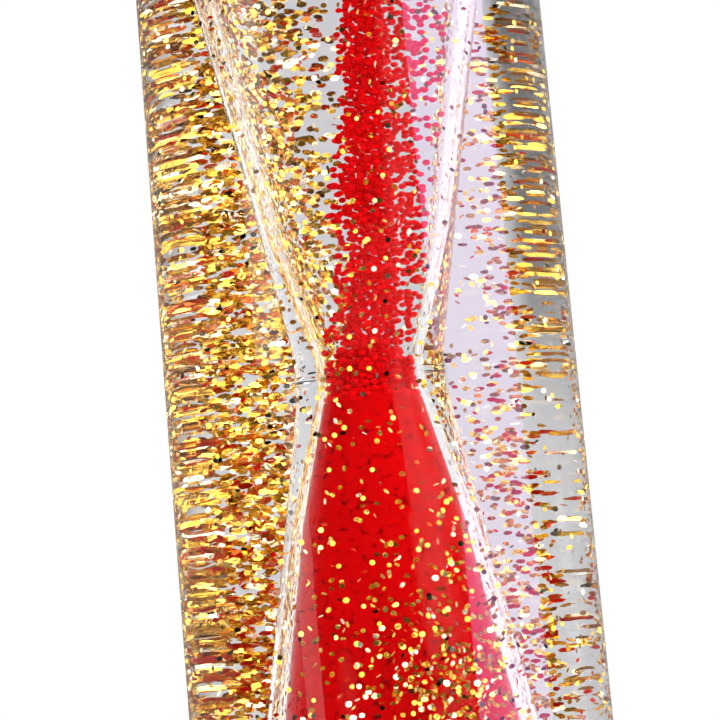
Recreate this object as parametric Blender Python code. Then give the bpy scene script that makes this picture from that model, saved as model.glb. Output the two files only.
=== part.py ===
"""A sensory bottle: a clear sealed tube with an hourglass of red beads inside, adrift in gold glitter.

Metres, +Z up. The origin is the centre of the underside of the bottom foot pad, so the bottle stands on z = 0.
The bottle is the same at both ends, because it is turned over to start the beads again. Each end is built once,
measured from the surface that it stands on, and the upper end is the same shape upside down.
"""

import math
import random

import bmesh
import bpy
from mathutils import Matrix, Vector

# Outside sizes
OVERALL_HEIGHT = 0.156
TUBE_OUTER_DIAMETER = 0.040
TUBE_WALL = 0.002
TUBE_EDGE_CHAMFER = 0.0004

# What touches keeps this gap
FIT_GAP = 0.0003

# Caps and their foot pads
CAP_SKIRT_WALL = 0.0018
CAP_SKIRT_HEIGHT = 0.0155
CAP_FLOOR = 0.0022
CAP_CORNER_RADIUS = 0.0022
CAP_LIP_RADIUS = 0.0007
CAP_FLUTES = 12
CAP_FLUTE_DEPTH = 0.0009
CAP_FLUTE_MARGIN = 0.0020
CAP_RIM_WIDTH = 0.0056
PAD_THICKNESS = 0.0015
PAD_STANDS_PROUD = 0.0005
PAD_EDGE_CHAMFER = 0.0003

# Plugs that close the tube
PLUG_THICKNESS = 0.005
O_RING_SECTION = 0.0011
COLLAR_HEIGHT = 0.003
COLLAR_WALL = 0.0018
COLLAR_NOTCH_WIDTH = 0.003
CUSHION_THICKNESS = 0.0008
CUSHION_WIDTH = 0.0024

# The hourglass
GLITTER_CHANNEL = 0.0048
FUNNEL_WALL = 0.0012
NECK_WALL = 0.0019
NECK_FLARE = 0.012
LID_SHOULDER = 0.0004
LID_SHOULDER_HEIGHT = 0.0006
LID_THICKNESS = 0.0025
NECK_BORE_RADIUS = 0.0033
NECK_STRAIGHT = 0.0016
SPIGOT_LENGTH = 0.0012
SPIGOT_WALL = 0.0005

# Stoppers of the two fill holes
FILL_HOLE_RADIUS = 0.0016
STOPPER_HEAD_OVERHANG = 0.0014
STOPPER_HEAD_THICKNESS = 0.0009

# Beads
BEAD_DIAMETER = 0.00065
KNOB_PITCH = 0.0026
KNOB_DEPTH = 0.0003
CLEAR_BELOW_BED = 0.016
BED_CROWN = 0.0012
PLUME_RADIUS = 0.0029
PLUME_LEAN = 0.0029
PLUME_LEAN_RATE = 2.6
PLUME_SWAY = 0.0003
PLUME_TRAVEL = 0.009
HEAP_DEPTH = 0.014
HEAP_EDGE_DEPTH = 0.010

# Glitter
FLAKE_WIDTH = 0.0010
FLAKE_THICKNESS = 0.00022
FLAKE_TILT_DEGREES = 13
FLAKE_OVERLAP = 0.34
FLAKES_PER_DRIFT = 12
DRIFT_COUNT = 14
DRIFT_DEPTH = 0.0007
DRIFT_DIVE_DEGREES = 24
DRIFT_CLIMB_DEGREES = 28
DRIFT_ZONE_MARGIN = 0.012
THICK_SIDE_DEGREES = 150
GOLDEN_SHARE = 0.618
GLITTER_SEED = 7

# How finely the round pieces are cut into flats
CASING_SIDES = 48
INNER_SIDES = 36
SMALL_SIDES = 24
CORNER_STEPS = 4
SMOOTH_ANGLE = math.radians(35)
MERGE_DISTANCE = 1e-6

# Worked out from the sizes above, each measured up from the surface the bottle stands on
MIDDLE = OVERALL_HEIGHT / 2
TUBE_RADIUS = TUBE_OUTER_DIAMETER / 2
TUBE_BORE = TUBE_RADIUS - TUBE_WALL
CAP_BORE = TUBE_RADIUS + FIT_GAP
CAP_RADIUS = CAP_BORE + CAP_SKIRT_WALL
CAP_FACE = PAD_STANDS_PROUD
PAD_RADIUS = CAP_RADIUS - CAP_RIM_WIDTH
PAD_SEAT = PAD_THICKNESS + FIT_GAP
CAP_INSIDE = PAD_SEAT + CAP_FLOOR
TUBE_END = CAP_INSIDE + FIT_GAP
PLUG_INSIDE = TUBE_END + PLUG_THICKNESS
PLUG_RADIUS = TUBE_BORE - FIT_GAP
MOUTH_RADIUS = TUBE_BORE - GLITTER_CHANNEL
COLLAR_BORE = MOUTH_RADIUS + FIT_GAP
CUSHION_SEAT = PLUG_INSIDE + FIT_GAP
RIM_END = CUSHION_SEAT + CUSHION_THICKNESS + FIT_GAP
LID_OUTSIDE = RIM_END + FIT_GAP
LID_INSIDE = LID_OUTSIDE + LID_THICKNESS
SHOULDER = LID_INSIDE + FIT_GAP
CONE_START = SHOULDER + LID_SHOULDER_HEIGHT
CONE_END = MIDDLE - NECK_STRAIGHT
NECK_RADIUS = NECK_BORE_RADIUS + NECK_WALL
RIM_BORE = MOUTH_RADIUS - FUNNEL_WALL + LID_SHOULDER
CONE_SLOPE = (MOUTH_RADIUS - NECK_RADIUS) / (CONE_END - CONE_START)
STOPPER_HEAD_RADIUS = FILL_HOLE_RADIUS + STOPPER_HEAD_OVERHANG
BED_BOTTOM = CONE_START + CLEAR_BELOW_BED
BED_TOP = MIDDLE + BED_CROWN
HEAP_TOP = OVERALL_HEIGHT - LID_INSIDE - FIT_GAP
HEAP_TIP = HEAP_TOP - HEAP_DEPTH
PLUME_FOOT = BED_TOP + FIT_GAP
PLUME_TIP = HEAP_TIP - PLUME_TRAVEL - FIT_GAP
PLUME_HEIGHT = PLUME_TIP - PLUME_FOOT


def clear_scene():
    """Starts from an empty scene."""
    for thing in list(bpy.data.objects):
        bpy.data.objects.remove(thing, do_unlink=True)


def finish(name, colour, roughness, metallic=0.0, alpha=1.0, transmission=0.0):
    """A plain Principled finish for one piece."""
    material = bpy.data.materials.new(name)
    material.use_nodes = True
    shader = material.node_tree.nodes["Principled BSDF"]
    shader.inputs["Base Color"].default_value = (*colour, 1.0)
    shader.inputs["Roughness"].default_value = roughness
    shader.inputs["Metallic"].default_value = metallic
    shader.inputs["Alpha"].default_value = alpha
    shader.inputs["Transmission Weight"].default_value = transmission
    material.diffuse_color = (*colour, alpha)
    material.roughness = roughness
    material.metallic = metallic
    return material


def clear_plastic(name):
    """Colourless polished acrylic."""
    return finish(name, (0.92, 0.95, 0.97), 0.03, alpha=0.35, transmission=1.0)


def cap_plastic(name):
    """Glossy red moulded plastic."""
    return finish(name, (0.60, 0.012, 0.015), 0.25)


def soft_rubber(name):
    """Dark grey rubber."""
    return finish(name, (0.05, 0.05, 0.055), 0.75)


def clear_silicone(name):
    """Milky soft silicone."""
    return finish(name, (0.78, 0.78, 0.76), 0.5)


def bead_plastic(name):
    """Matte bright red microbeads."""
    return finish(name, (0.62, 0.008, 0.006), 0.45)


def gold_film(name):
    """Bright gold metallised film."""
    return finish(name, (0.85, 0.56, 0.14), 0.2, metallic=1.0)


def add_piece(name, mesh, make_finish):
    """Puts a mesh in the scene as one named piece with its own finish, shaded smooth."""
    mesh.shade_smooth()
    mesh.set_sharp_from_angle(angle=SMOOTH_ANGLE)
    mesh.materials.append(make_finish(name + "_finish"))
    piece = bpy.data.objects.new(name, mesh)
    bpy.context.scene.collection.objects.link(piece)
    return piece


def add_cutter(name, mesh):
    """Puts a mesh in the scene as a tool that only cuts other pieces."""
    cutter = bpy.data.objects.new(name, mesh)
    cutter.hide_render = True
    cutter.display_type = "WIRE"
    bpy.context.scene.collection.objects.link(cutter)
    return cutter


def combine(piece, tool, operation, joins_itself=False):
    """Cuts or joins a piece with a tool, exactly."""
    boolean = piece.modifiers.new(operation.lower() + "_" + tool.name, "BOOLEAN")
    boolean.operation = operation
    boolean.object = tool
    boolean.solver = "EXACT"
    boolean.use_self = joins_itself


def arc(centre, radius, start_degrees, end_degrees, steps=CORNER_STEPS):
    """Points (r, z) along a round corner."""
    points = []
    for step in range(steps + 1):
        angle = math.radians(start_degrees + (end_degrees - start_degrees) * step / steps)
        points.append((centre[0] + radius * math.cos(angle), centre[1] + radius * math.sin(angle)))
    return points


def upside_down(profile):
    """The same profile at the bottle's other end."""
    return [(r, OVERALL_HEIGHT - z) for r, z in profile]


def turned(name, profile, sides, reshape=None):
    """Spins a profile of (r, z) points about the bottle's axis. One that starts and ends on the axis is solid."""
    shape = bmesh.new()
    points = [shape.verts.new((r, 0.0, z)) for r, z in profile]
    lines = [shape.edges.new(pair) for pair in zip(points, points[1:])]
    if profile[0][0] > MERGE_DISTANCE:
        lines.append(shape.edges.new((points[-1], points[0])))
    bmesh.ops.spin(
        shape, geom=points + lines, cent=(0, 0, 0), axis=(0, 0, 1), angle=math.tau, steps=sides, use_merge=True
    )
    bmesh.ops.remove_doubles(shape, verts=shape.verts, dist=MERGE_DISTANCE)
    if reshape:
        for vert in shape.verts:
            vert.co = reshape(vert.co)
    bmesh.ops.recalc_face_normals(shape, faces=shape.faces)
    mesh = bpy.data.meshes.new(name)
    shape.to_mesh(mesh)
    shape.free()
    return mesh


def cone_radius(height):
    """Outer radius of the hourglass at a height in either half."""
    from_middle = min(abs(height - MIDDLE), MIDDLE - CONE_START)
    return NECK_RADIUS + max(0.0, from_middle - NECK_STRAIGHT) * CONE_SLOPE


def bore_radius(height):
    """Inner radius of the hourglass at a height in either half. Its wall is thickest at the neck."""
    from_neck = max(0.0, abs(height - MIDDLE) - NECK_STRAIGHT)
    thickening = (NECK_WALL - FUNNEL_WALL) * max(0.0, 1.0 - from_neck / NECK_FLARE)
    return cone_radius(height) - FUNNEL_WALL - thickening


def build_outer_tube():
    """The clear casing, a plain tube with broken edges."""
    low, high = TUBE_END, OVERALL_HEIGHT - TUBE_END
    profile = [
        (TUBE_BORE, low + TUBE_EDGE_CHAMFER),
        (TUBE_BORE + TUBE_EDGE_CHAMFER, low),
        (TUBE_RADIUS - TUBE_EDGE_CHAMFER, low),
        (TUBE_RADIUS, low + TUBE_EDGE_CHAMFER),
        (TUBE_RADIUS, high - TUBE_EDGE_CHAMFER),
        (TUBE_RADIUS - TUBE_EDGE_CHAMFER, high),
        (TUBE_BORE + TUBE_EDGE_CHAMFER, high),
        (TUBE_BORE, high - TUBE_EDGE_CHAMFER),
    ]
    add_piece("outer_tube", turned("outer_tube", profile, CASING_SIDES), clear_plastic)


def cap_profile():
    """A cup: a floor with a recess for the foot pad, and a skirt round the tube."""
    pad_bore = PAD_RADIUS + FIT_GAP
    skirt_end = CAP_FACE + CAP_SKIRT_HEIGHT
    corner = (CAP_RADIUS - CAP_CORNER_RADIUS, CAP_FACE + CAP_CORNER_RADIUS)
    outer_lip = (CAP_RADIUS - CAP_LIP_RADIUS, skirt_end - CAP_LIP_RADIUS)
    profile = [(0.0, PAD_SEAT), (pad_bore, PAD_SEAT), (pad_bore, CAP_FACE)]
    profile += arc(corner, CAP_CORNER_RADIUS, -90, 0)
    profile += [(CAP_RADIUS, CAP_FACE + CAP_CORNER_RADIUS + CAP_FLUTE_MARGIN)]
    profile += [(CAP_RADIUS, skirt_end - CAP_LIP_RADIUS - CAP_FLUTE_MARGIN)]
    profile += arc(outer_lip, CAP_LIP_RADIUS, 0, 90, 2)
    profile += [(CAP_BORE, skirt_end), (CAP_BORE, CAP_INSIDE), (0.0, CAP_INSIDE)]
    return profile


def flute(point):
    """Draws the grip zone of a cap's skirt in between its ribs."""
    radius = math.hypot(point.x, point.y)
    height = min(point.z, OVERALL_HEIGHT - point.z)
    zone_low = CAP_FACE + CAP_CORNER_RADIUS + CAP_FLUTE_MARGIN / 2
    zone_high = CAP_FACE + CAP_SKIRT_HEIGHT - CAP_LIP_RADIUS - CAP_FLUTE_MARGIN / 2
    if radius < CAP_RADIUS - MERGE_DISTANCE or not zone_low < height < zone_high:
        return point
    turn = math.atan2(point.y, point.x)
    drawn_in = CAP_FLUTE_DEPTH * (0.5 - 0.5 * math.cos(CAP_FLUTES * turn))
    scale = (radius - drawn_in) / radius
    return Vector((point.x * scale, point.y * scale, point.z))


def pad_profile():
    """A soft disc, chamfered where it meets the table."""
    return [
        (0.0, 0.0),
        (PAD_RADIUS - PAD_EDGE_CHAMFER, 0.0),
        (PAD_RADIUS, PAD_EDGE_CHAMFER),
        (PAD_RADIUS, PAD_THICKNESS),
        (0.0, PAD_THICKNESS),
    ]


def plug_profile(has_fill_hole):
    """A disc with a groove for its seal, and a collar that holds the hourglass's mouth."""
    groove_floor = TUBE_BORE - O_RING_SECTION - 2 * FIT_GAP
    groove_half = O_RING_SECTION / 2 + FIT_GAP
    groove_middle = TUBE_END + PLUG_THICKNESS / 2
    collar_end = PLUG_INSIDE + COLLAR_HEIGHT
    profile = [
        (PLUG_RADIUS, TUBE_END),
        (PLUG_RADIUS, groove_middle - groove_half),
        (groove_floor, groove_middle - groove_half),
        (groove_floor, groove_middle + groove_half),
        (PLUG_RADIUS, groove_middle + groove_half),
        (PLUG_RADIUS, PLUG_INSIDE),
        (COLLAR_BORE + COLLAR_WALL, PLUG_INSIDE),
        (COLLAR_BORE + COLLAR_WALL, collar_end),
        (COLLAR_BORE, collar_end),
        (COLLAR_BORE, PLUG_INSIDE),
    ]
    if not has_fill_hole:
        return [(0.0, TUBE_END)] + profile + [(0.0, PLUG_INSIDE)]
    head_bore = STOPPER_HEAD_RADIUS + FIT_GAP
    head_seat = TUBE_END + STOPPER_HEAD_THICKNESS + FIT_GAP
    hole = [
        (FILL_HOLE_RADIUS, PLUG_INSIDE),
        (FILL_HOLE_RADIUS, head_seat),
        (head_bore, head_seat),
        (head_bore, TUBE_END),
    ]
    return profile + hole


def lid_profile(has_fill_hole):
    """A disc cemented in the hourglass's mouth."""
    radius = RIM_BORE - FIT_GAP
    edge = [(radius, LID_OUTSIDE), (radius, LID_INSIDE)]
    if not has_fill_hole:
        return [(0.0, LID_OUTSIDE)] + edge + [(0.0, LID_INSIDE)]
    return [(FILL_HOLE_RADIUS, LID_OUTSIDE)] + edge + [(FILL_HOLE_RADIUS, LID_INSIDE)]


def stopper_profile(head_outside, hole_inside):
    """A small rivet-shaped stopper, from its head's outer face to the end of the hole."""
    shank = FILL_HOLE_RADIUS - FIT_GAP
    head_inside = head_outside + STOPPER_HEAD_THICKNESS
    return [
        (0.0, head_outside),
        (STOPPER_HEAD_RADIUS, head_outside),
        (STOPPER_HEAD_RADIUS, head_inside),
        (shank, head_inside),
        (shank, hole_inside),
        (0.0, hole_inside),
    ]


def o_ring_profile():
    """The round section of a seal, in the middle of its groove."""
    centre = (TUBE_BORE - FIT_GAP - O_RING_SECTION / 2, TUBE_END + PLUG_THICKNESS / 2)
    return arc(centre, O_RING_SECTION / 2, 0, 300, 5)


def cushion_profile():
    """The flat section of a soft ring between plug and hourglass."""
    outer = MOUTH_RADIUS
    inner = MOUTH_RADIUS - CUSHION_WIDTH
    low, high = CUSHION_SEAT, CUSHION_SEAT + CUSHION_THICKNESS
    return [(inner, low), (outer, low), (outer, high), (inner, high)]


def funnel_body(neck_points):
    """Half of the hourglass: rim, shoulder for the lid, cone, then the neck's own points."""
    flare_end = CONE_END - NECK_FLARE
    outside = [
        (RIM_BORE, RIM_END),
        (MOUTH_RADIUS, RIM_END),
        (MOUTH_RADIUS, CONE_START),
        (NECK_RADIUS, CONE_END),
    ]
    inside = [
        (NECK_BORE_RADIUS, CONE_END),
        (bore_radius(flare_end), flare_end),
        (MOUTH_RADIUS - FUNNEL_WALL, CONE_START),
        (MOUTH_RADIUS - FUNNEL_WALL, SHOULDER),
        (RIM_BORE, SHOULDER),
    ]
    return outside + neck_points + inside


def socket_points():
    """The lower funnel's neck: its end is bored out to take the upper funnel's spigot."""
    end = MIDDLE - FIT_GAP / 2
    seat = end - SPIGOT_LENGTH - FIT_GAP
    socket_bore = NECK_BORE_RADIUS + SPIGOT_WALL + FIT_GAP
    return [(NECK_RADIUS, end), (socket_bore, end), (socket_bore, seat), (NECK_BORE_RADIUS, seat)]


def spigot_points():
    """The upper funnel's neck, measured from its own end of the bottle: a thin spigot past the middle."""
    end = MIDDLE - FIT_GAP / 2
    tip = MIDDLE + FIT_GAP / 2 + SPIGOT_LENGTH
    spigot_radius = NECK_BORE_RADIUS + SPIGOT_WALL
    return [(NECK_RADIUS, end), (spigot_radius, end), (spigot_radius, tip), (NECK_BORE_RADIUS, tip)]


def notch_collar(plug, centre_height):
    """Cuts four gaps through a plug's collar, so that the liquid reaches the bottle's ends."""
    length = 2 * TUBE_BORE - 2 * FIT_GAP
    for index in range(2):
        shape = bmesh.new()
        size = Matrix.Diagonal((length, COLLAR_NOTCH_WIDTH, COLLAR_HEIGHT, 1.0))
        turn = Matrix.Rotation(math.radians(45 + 90 * index), 4, "Z")
        place = Matrix.Translation((0.0, 0.0, centre_height))
        bmesh.ops.create_cube(shape, size=1.0, matrix=place @ turn @ size)
        mesh = bpy.data.meshes.new(plug.name + "_notch")
        shape.to_mesh(mesh)
        shape.free()
        combine(plug, add_cutter(f"{plug.name}_notch_{index}", mesh), "DIFFERENCE")


def build_end(end, flip):
    """Cap, foot pad, plug, seal and cushion ring of one end of the bottle."""
    is_top = end == "top"
    cap = turned(f"{end}_cap", flip(cap_profile()), CASING_SIDES, flute)
    pad = turned(f"{end}_foot_pad", flip(pad_profile()), INNER_SIDES)
    plug = turned(f"{end}_end_plug", flip(plug_profile(is_top)), INNER_SIDES)
    seal = turned(f"{end}_o_ring", flip(o_ring_profile()), INNER_SIDES)
    cushion = turned(f"{end}_cushion_ring", flip(cushion_profile()), INNER_SIDES)
    add_piece(f"{end}_cap", cap, cap_plastic)
    add_piece(f"{end}_foot_pad", pad, soft_rubber)
    plug_piece = add_piece(f"{end}_end_plug", plug, clear_plastic)
    add_piece(f"{end}_o_ring", seal, soft_rubber)
    add_piece(f"{end}_cushion_ring", cushion, clear_silicone)
    notch_middle = PLUG_INSIDE + FIT_GAP + COLLAR_HEIGHT / 2
    notch_collar(plug_piece, OVERALL_HEIGHT - notch_middle if is_top else notch_middle)


def build_hourglass():
    """Two funnels that plug together at the neck, with a lid in each mouth."""
    lower = turned("lower_funnel", funnel_body(socket_points()), INNER_SIDES)
    upper = turned("upper_funnel", upside_down(funnel_body(spigot_points())), INNER_SIDES)
    add_piece("lower_funnel", lower, clear_plastic)
    add_piece("upper_funnel", upper, clear_plastic)
    lower_lid = turned("lower_chamber_lid", lid_profile(False), INNER_SIDES)
    upper_lid = turned("upper_chamber_lid", upside_down(lid_profile(True)), INNER_SIDES)
    add_piece("lower_chamber_lid", lower_lid, clear_plastic)
    add_piece("upper_chamber_lid", upper_lid, clear_plastic)


def build_stoppers():
    """The stoppers of the bottle's own fill hole and of the hourglass's."""
    outer = stopper_profile(TUBE_END, PLUG_INSIDE)
    inner = stopper_profile(LID_OUTSIDE - FIT_GAP - STOPPER_HEAD_THICKNESS, LID_INSIDE)
    add_piece("outer_fill_stopper", turned("outer_fill_stopper", upside_down(outer), SMALL_SIDES), clear_silicone)
    add_piece("inner_fill_stopper", turned("inner_fill_stopper", upside_down(inner), SMALL_SIDES), clear_silicone)


def bead_bumps(point, reach):
    """How far a bead-covered surface stands in from its smooth outline at a point, from 0 to reach."""
    turn = math.atan2(point.y, point.x)
    radius = math.hypot(point.x, point.y)
    around = math.cos(turn * max(4.0, round(math.tau * radius / KNOB_PITCH)))
    along = math.cos(math.tau * point.z / KNOB_PITCH)
    return reach * (0.5 - 0.5 * around * along)


def knobbly(reach):
    """A reshaping that draws a bead-covered surface inwards between its beads."""

    def reshape(point):
        radius = math.hypot(point.x, point.y)
        if radius < BEAD_DIAMETER:
            return point
        scale = (radius - bead_bumps(point, reach)) / radius
        return Vector((point.x * scale, point.y * scale, point.z))

    return reshape


def build_bead_bed():
    """Packed beads, floating up against the lower cone and through the neck."""
    side = []
    rows = 15
    for row in range(rows + 1):
        height = BED_BOTTOM + (MIDDLE - BED_BOTTOM) * row / rows
        side.append((bore_radius(height) - FIT_GAP, height))
    foot = [(0.0, BED_BOTTOM + BEAD_DIAMETER), (bore_radius(BED_BOTTOM) / 2, BED_BOTTOM)]
    shoulder = (NECK_BORE_RADIUS - FIT_GAP, BED_TOP - BEAD_DIAMETER / 2)
    crown = [shoulder, (NECK_BORE_RADIUS / 2, BED_TOP), (0.0, BED_TOP)]
    profile = foot + side + crown
    mesh = turned("bead_bed", profile, SMALL_SIDES, knobbly(KNOB_DEPTH))
    add_piece("bead_bed", mesh, bead_plastic)


def plume_radius(share):
    """Half the width of the rising stream, from 0 at the neck to 1 at its top: it billows, and slowly narrows."""
    billows = 0.07 * math.cos(math.tau * 2.6 * share) + 0.05 * math.cos(math.tau * 5.3 * share)
    round_end = min(1.0, math.sqrt(max(0.0, 1.0 - share) * 9.0) + 0.2)
    return PLUME_RADIUS * (1.03 - 0.22 * share + billows) * round_end


def plume_drift(height):
    """How far sideways the stream has moved at a height: it leans, because the bottle stands a little aslant."""
    share = max(0.0, height - PLUME_FOOT) / PLUME_HEIGHT
    lean = PLUME_LEAN * (1.0 - math.exp(-PLUME_LEAN_RATE * share))
    return lean + PLUME_SWAY * math.sin(math.tau * 1.6 * share) * min(1.0, 3.0 * share)


def sway(point):
    """Lets the stream drift sideways as it rises, from nothing at the neck."""
    knobs = knobbly(KNOB_DEPTH)(point)
    return Vector((knobs.x + plume_drift(point.z), knobs.y, knobs.z))


def build_bead_plume():
    """The stream of beads that rises from the neck. Its object's origin is on the line that it rises along."""
    rows = 34
    side_height = PLUME_HEIGHT - BEAD_DIAMETER / 2
    profile = [(0.0, PLUME_FOOT)]
    for row in range(rows + 1):
        share = row / rows
        height = PLUME_FOOT + side_height * share
        room = bore_radius(height) - plume_drift(height) - FIT_GAP
        profile.append((min(plume_radius(share), room), height))
    profile.append((0.0, PLUME_TIP))
    add_piece("bead_plume", turned("bead_plume", profile, SMALL_SIDES, sway), bead_plastic)


def build_bead_heap():
    """Beads that have reached the upper lid, in a heap that hangs down in the middle."""
    edge = HEAP_TOP - HEAP_EDGE_DEPTH
    profile = [(0.0, HEAP_TIP), (bore_radius(edge) * 0.35, HEAP_TIP + (edge - HEAP_TIP) * 0.3)]
    rows = 4
    for row in range(rows + 1):
        height = edge + (HEAP_TOP - edge) * row / rows
        profile.append((bore_radius(height) - FIT_GAP, height))
    profile.append((0.0, HEAP_TOP))
    mesh = turned("bead_heap", profile, SMALL_SIDES, knobbly(KNOB_DEPTH))
    add_piece("bead_heap", mesh, bead_plastic)


def add_flake(shape, place):
    """One hexagonal flake of film."""
    corner = FLAKE_WIDTH / math.sqrt(3)
    bmesh.ops.create_cone(
        shape, cap_ends=True, segments=6, radius1=corner, radius2=corner, depth=FLAKE_THICKNESS, matrix=place
    )


def flake_place(centre, heading, climb, chance):
    """Lays a flake along a drift's line, with a little tilt of its own. The line's heading is about Z."""
    place = Matrix.Translation(centre)
    along_line = Matrix.Rotation(heading, 4, "Z") @ Matrix.Rotation(-climb, 4, "Y")
    on_edge = Matrix.Rotation(math.radians(90), 4, "X")
    tilt = Matrix.Rotation(math.radians(chance.uniform(-FLAKE_TILT_DEGREES, FLAKE_TILT_DEGREES)), 4, "X")
    lean = Matrix.Rotation(math.radians(chance.uniform(-FLAKE_TILT_DEGREES, FLAKE_TILT_DEGREES)), 4, "Y")
    spin = Matrix.Rotation(math.radians(chance.uniform(0, 60)), 4, "Z")
    return place @ along_line @ on_edge @ tilt @ lean @ spin


def drift_line(turn, height, climb, dive):
    """Centres of a drift's flakes and their headings. It starts by the tube's wall and dives inwards."""
    pitch = FLAKE_WIDTH * (1.0 - FLAKE_OVERLAP)
    centre = Vector((math.cos(turn), math.sin(turn), 0.0)) * (TUBE_BORE - DRIFT_DEPTH)
    centre.z = height - math.sin(climb) * pitch * (FLAKES_PER_DRIFT - 1) / 2
    places = []
    for flake in range(FLAKES_PER_DRIFT):
        heading = math.atan2(centre.y, centre.x) + math.radians(90) + dive * min(1.0, flake / 3)
        places.append((centre.copy(), heading))
        level_step = pitch * math.cos(climb)
        centre += Vector((level_step * math.cos(heading), level_step * math.sin(heading), pitch * math.sin(climb)))
    return places


def build_drift(name, places, climb, chance):
    """One drift of flakes that touch one another, as one solid."""
    first = bmesh.new()
    others = bmesh.new()
    for index, (centre, heading) in enumerate(places):
        add_flake(others if index else first, flake_place(centre, heading, climb, chance))
    first_mesh = bpy.data.meshes.new(name + "_first_flake")
    first.to_mesh(first_mesh)
    first.free()
    mesh = bpy.data.meshes.new(name)
    others.to_mesh(mesh)
    others.free()
    piece = add_piece(name, mesh, gold_film)
    combine(piece, add_cutter(name + "_first_flake", first_mesh), "UNION", joins_itself=True)


def build_glitter():
    """Drifts of gold flakes, spread up the channel and round it, and thickest at the back of the -X side."""
    chance = random.Random(GLITTER_SEED)
    low = CONE_START + DRIFT_ZONE_MARGIN
    high = OVERALL_HEIGHT - low
    for drift in range(DRIFT_COUNT):
        height = low + (high - low) * (drift + 0.5) / DRIFT_COUNT
        side = 2 * ((0.5 + GOLDEN_SHARE * drift) % 1.0) - 1
        turn = math.radians(THICK_SIDE_DEGREES + 180 * side * math.sqrt(abs(side)))
        climb = math.radians(chance.uniform(-DRIFT_CLIMB_DEGREES, DRIFT_CLIMB_DEGREES))
        dive = math.radians(chance.uniform(0.3, 1.0) * DRIFT_DIVE_DEGREES)
        build_drift(f"glitter_drift_{drift + 1}", drift_line(turn, height, climb, dive), climb, chance)


def build():
    """The whole bottle, from the casing inwards."""
    clear_scene()
    build_outer_tube()
    build_end("bottom", list)
    build_end("top", upside_down)
    build_hourglass()
    build_stoppers()
    build_bead_bed()
    build_bead_plume()
    build_bead_heap()
    build_glitter()


build()
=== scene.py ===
# %% [markdown]
# # A sensory bottle
#
# A clear sealed tube full of liquid, with a clear hourglass inside. Red microbeads stream up through the
# hourglass's neck, and gold flakes drift round it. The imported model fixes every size, so this lesson first
# loads it as a frame, and then dresses it: clear plastic, liquid, beads, glitter, caps and light.
# Everything is in metres, with +Z up.

import math

import bpy
import numpy as np
from mathutils import Matrix, Vector


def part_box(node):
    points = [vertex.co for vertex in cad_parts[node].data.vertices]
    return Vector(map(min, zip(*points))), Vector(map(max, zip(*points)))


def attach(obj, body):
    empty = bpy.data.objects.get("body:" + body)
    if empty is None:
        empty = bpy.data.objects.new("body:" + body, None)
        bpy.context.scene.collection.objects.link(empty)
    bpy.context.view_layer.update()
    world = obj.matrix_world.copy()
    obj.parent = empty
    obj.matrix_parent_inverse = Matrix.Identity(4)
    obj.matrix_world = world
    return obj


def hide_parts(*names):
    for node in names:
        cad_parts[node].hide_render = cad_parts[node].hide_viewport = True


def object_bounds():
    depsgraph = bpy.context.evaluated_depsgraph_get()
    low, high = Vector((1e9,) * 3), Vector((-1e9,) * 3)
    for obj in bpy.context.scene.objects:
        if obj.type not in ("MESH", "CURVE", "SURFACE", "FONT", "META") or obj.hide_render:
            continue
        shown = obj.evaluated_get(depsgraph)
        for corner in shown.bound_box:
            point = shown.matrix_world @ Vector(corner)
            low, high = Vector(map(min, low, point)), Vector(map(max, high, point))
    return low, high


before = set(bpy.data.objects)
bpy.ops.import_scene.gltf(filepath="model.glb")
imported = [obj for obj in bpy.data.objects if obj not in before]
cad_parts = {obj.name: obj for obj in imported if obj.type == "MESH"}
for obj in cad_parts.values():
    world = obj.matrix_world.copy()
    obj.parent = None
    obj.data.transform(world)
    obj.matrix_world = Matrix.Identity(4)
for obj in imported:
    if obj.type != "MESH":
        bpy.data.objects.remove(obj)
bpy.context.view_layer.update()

# %% [markdown]
# The sizes of the new pieces come from the boxes of the solids that they dress. A box can't tell how thick
# a wall is, so the walls and the neck are named here with the values that the moulded parts have.

# %% Sizes read from the frame
bottle_low, bottle_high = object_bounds()
MIDDLE = (bottle_low[2] + bottle_high[2]) / 2
tube_low, tube_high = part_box("outer_tube")
TUBE_RADIUS = tube_high[0]
TUBE_WALL = 0.002
TUBE_BORE = TUBE_RADIUS - TUBE_WALL
funnel_low, funnel_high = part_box("lower_funnel")
MOUTH_RADIUS = funnel_high[0]
RIM_END = funnel_low[2]
FIT_GAP = 0.0003
FUNNEL_WALL = 0.0012
NECK_WALL = 0.0019
NECK_FLARE = 0.012
NECK_BORE = 0.0033
NECK_STRAIGHT = 0.0016
LID_SHOULDER = 0.0004
LID_SHOULDER_HEIGHT = 0.0006
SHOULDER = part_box("lower_chamber_lid")[1][2] + FIT_GAP
CONE_START = SHOULDER + LID_SHOULDER_HEIGHT
CONE_END = MIDDLE - NECK_STRAIGHT
NECK_RADIUS = NECK_BORE + NECK_WALL
CONE_SLOPE = (MOUTH_RADIUS - NECK_RADIUS) / (CONE_END - CONE_START)
print(f"tube radius {TUBE_RADIUS:.4f}, mouth {MOUTH_RADIUS:.4f}, cone slope {CONE_SLOPE:.4f}")


# %% How wide the hourglass is
def cone_radius(height):
    """The hourglass's outer radius at a height."""
    from_middle = np.minimum(np.abs(height - MIDDLE), MIDDLE - CONE_START)
    return NECK_RADIUS + np.maximum(0.0, from_middle - NECK_STRAIGHT) * CONE_SLOPE


def bore_radius(height):
    """The hourglass's inner radius at a height. Its wall is thickest at the neck."""
    from_neck = np.maximum(0.0, np.abs(height - MIDDLE) - NECK_STRAIGHT)
    thickening = (NECK_WALL - FUNNEL_WALL) * np.maximum(0.0, 1.0 - from_neck / NECK_FLARE)
    return cone_radius(height) - FUNNEL_WALL - thickening


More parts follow.
